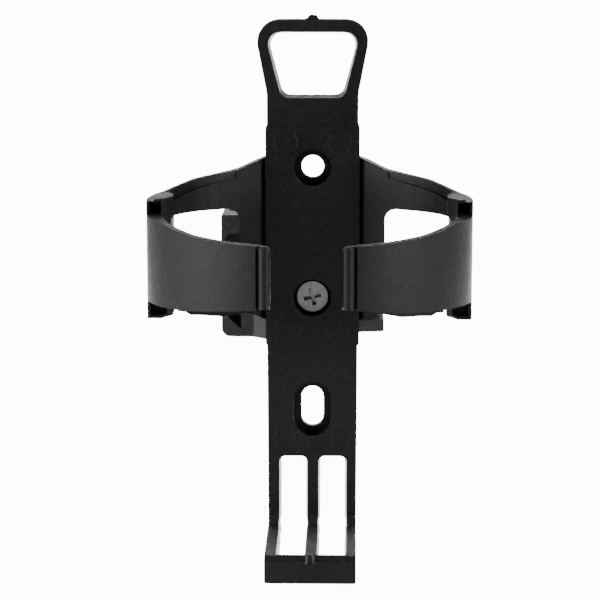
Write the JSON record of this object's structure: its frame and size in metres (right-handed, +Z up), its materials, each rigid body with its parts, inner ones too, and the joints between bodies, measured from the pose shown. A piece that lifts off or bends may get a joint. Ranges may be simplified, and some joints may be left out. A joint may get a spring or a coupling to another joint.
{
  "type": "bottle cage",
  "caption": "Moulded bottle cage with a carrying loop, two gripping arms and a slotted foot, on a swivel and a quick-release clamp for a round tube.",
  "frame": {"origin": "on the axis of the clamped tube, level with the axis of the swivel screw", "axes": "+Z up along the clamped tube, -Y towards the bottle and the open front of the cage, +X to the right seen from the front"},
  "size_m": [0.0788, 0.1324, 0.1413],
  "materials": {
    "cage_plastic": "satin black moulded nylon with a fine speckle",
    "clamp_plastic": "satin black glass-filled nylon",
    "steel": "zinc-plated steel",
    "rubber": "matt black rubber"
  },
  "bodies": {
    "clamp": {"clamp_base": "clamp_plastic", "base_liner": "rubber", "hinge_pin": "steel", "hinge_pin_clip": "steel", "captive_nut": "steel", "cage_screw": "steel", "swivel_washer": "rubber"},
    "cage": {"cage_frame": "cage_plastic", "index_disc": "cage_plastic"},
    "jaw": {"clamp_jaw": "clamp_plastic", "jaw_liner": "rubber", "cam_seat": "steel"},
    "latch": {"barrel_nut": "steel", "tension_bolt": "steel", "lever_pin": "steel", "lever_pin_clip": "steel"},
    "lever": {"cam_lever": "clamp_plastic"}
  },
  "joints": [
    {"name": "cage_swivel", "type": "hinge", "parent": "clamp", "child": "cage", "pos_m": [0, -0.025, 0], "axis": [0, -1, 0], "continuous": true},
    {"name": "lever_release", "type": "hinge", "parent": "latch", "child": "lever", "pos_m": [-0.0194, 0.0154, 0.0033], "axis": [0, 0, 1], "range_deg": [0, 120]},
    {"name": "jaw_hinge", "type": "hinge", "parent": "clamp", "child": "jaw", "pos_m": [0.016, -0.0005, 0.0033], "axis": [0, 0, -1], "range_deg": [0, 2.1]},
    {"name": "latch_swing", "type": "hinge", "parent": "clamp", "child": "latch", "pos_m": [-0.0194, -0.0062, 0.0033], "axis": [0, 0, 1], "range_deg": [0, 65]}
  ],
  "couplings": [
    {"joint": "jaw_hinge", "follows": "lever_release", "ratio": 0.016667}
  ]
}
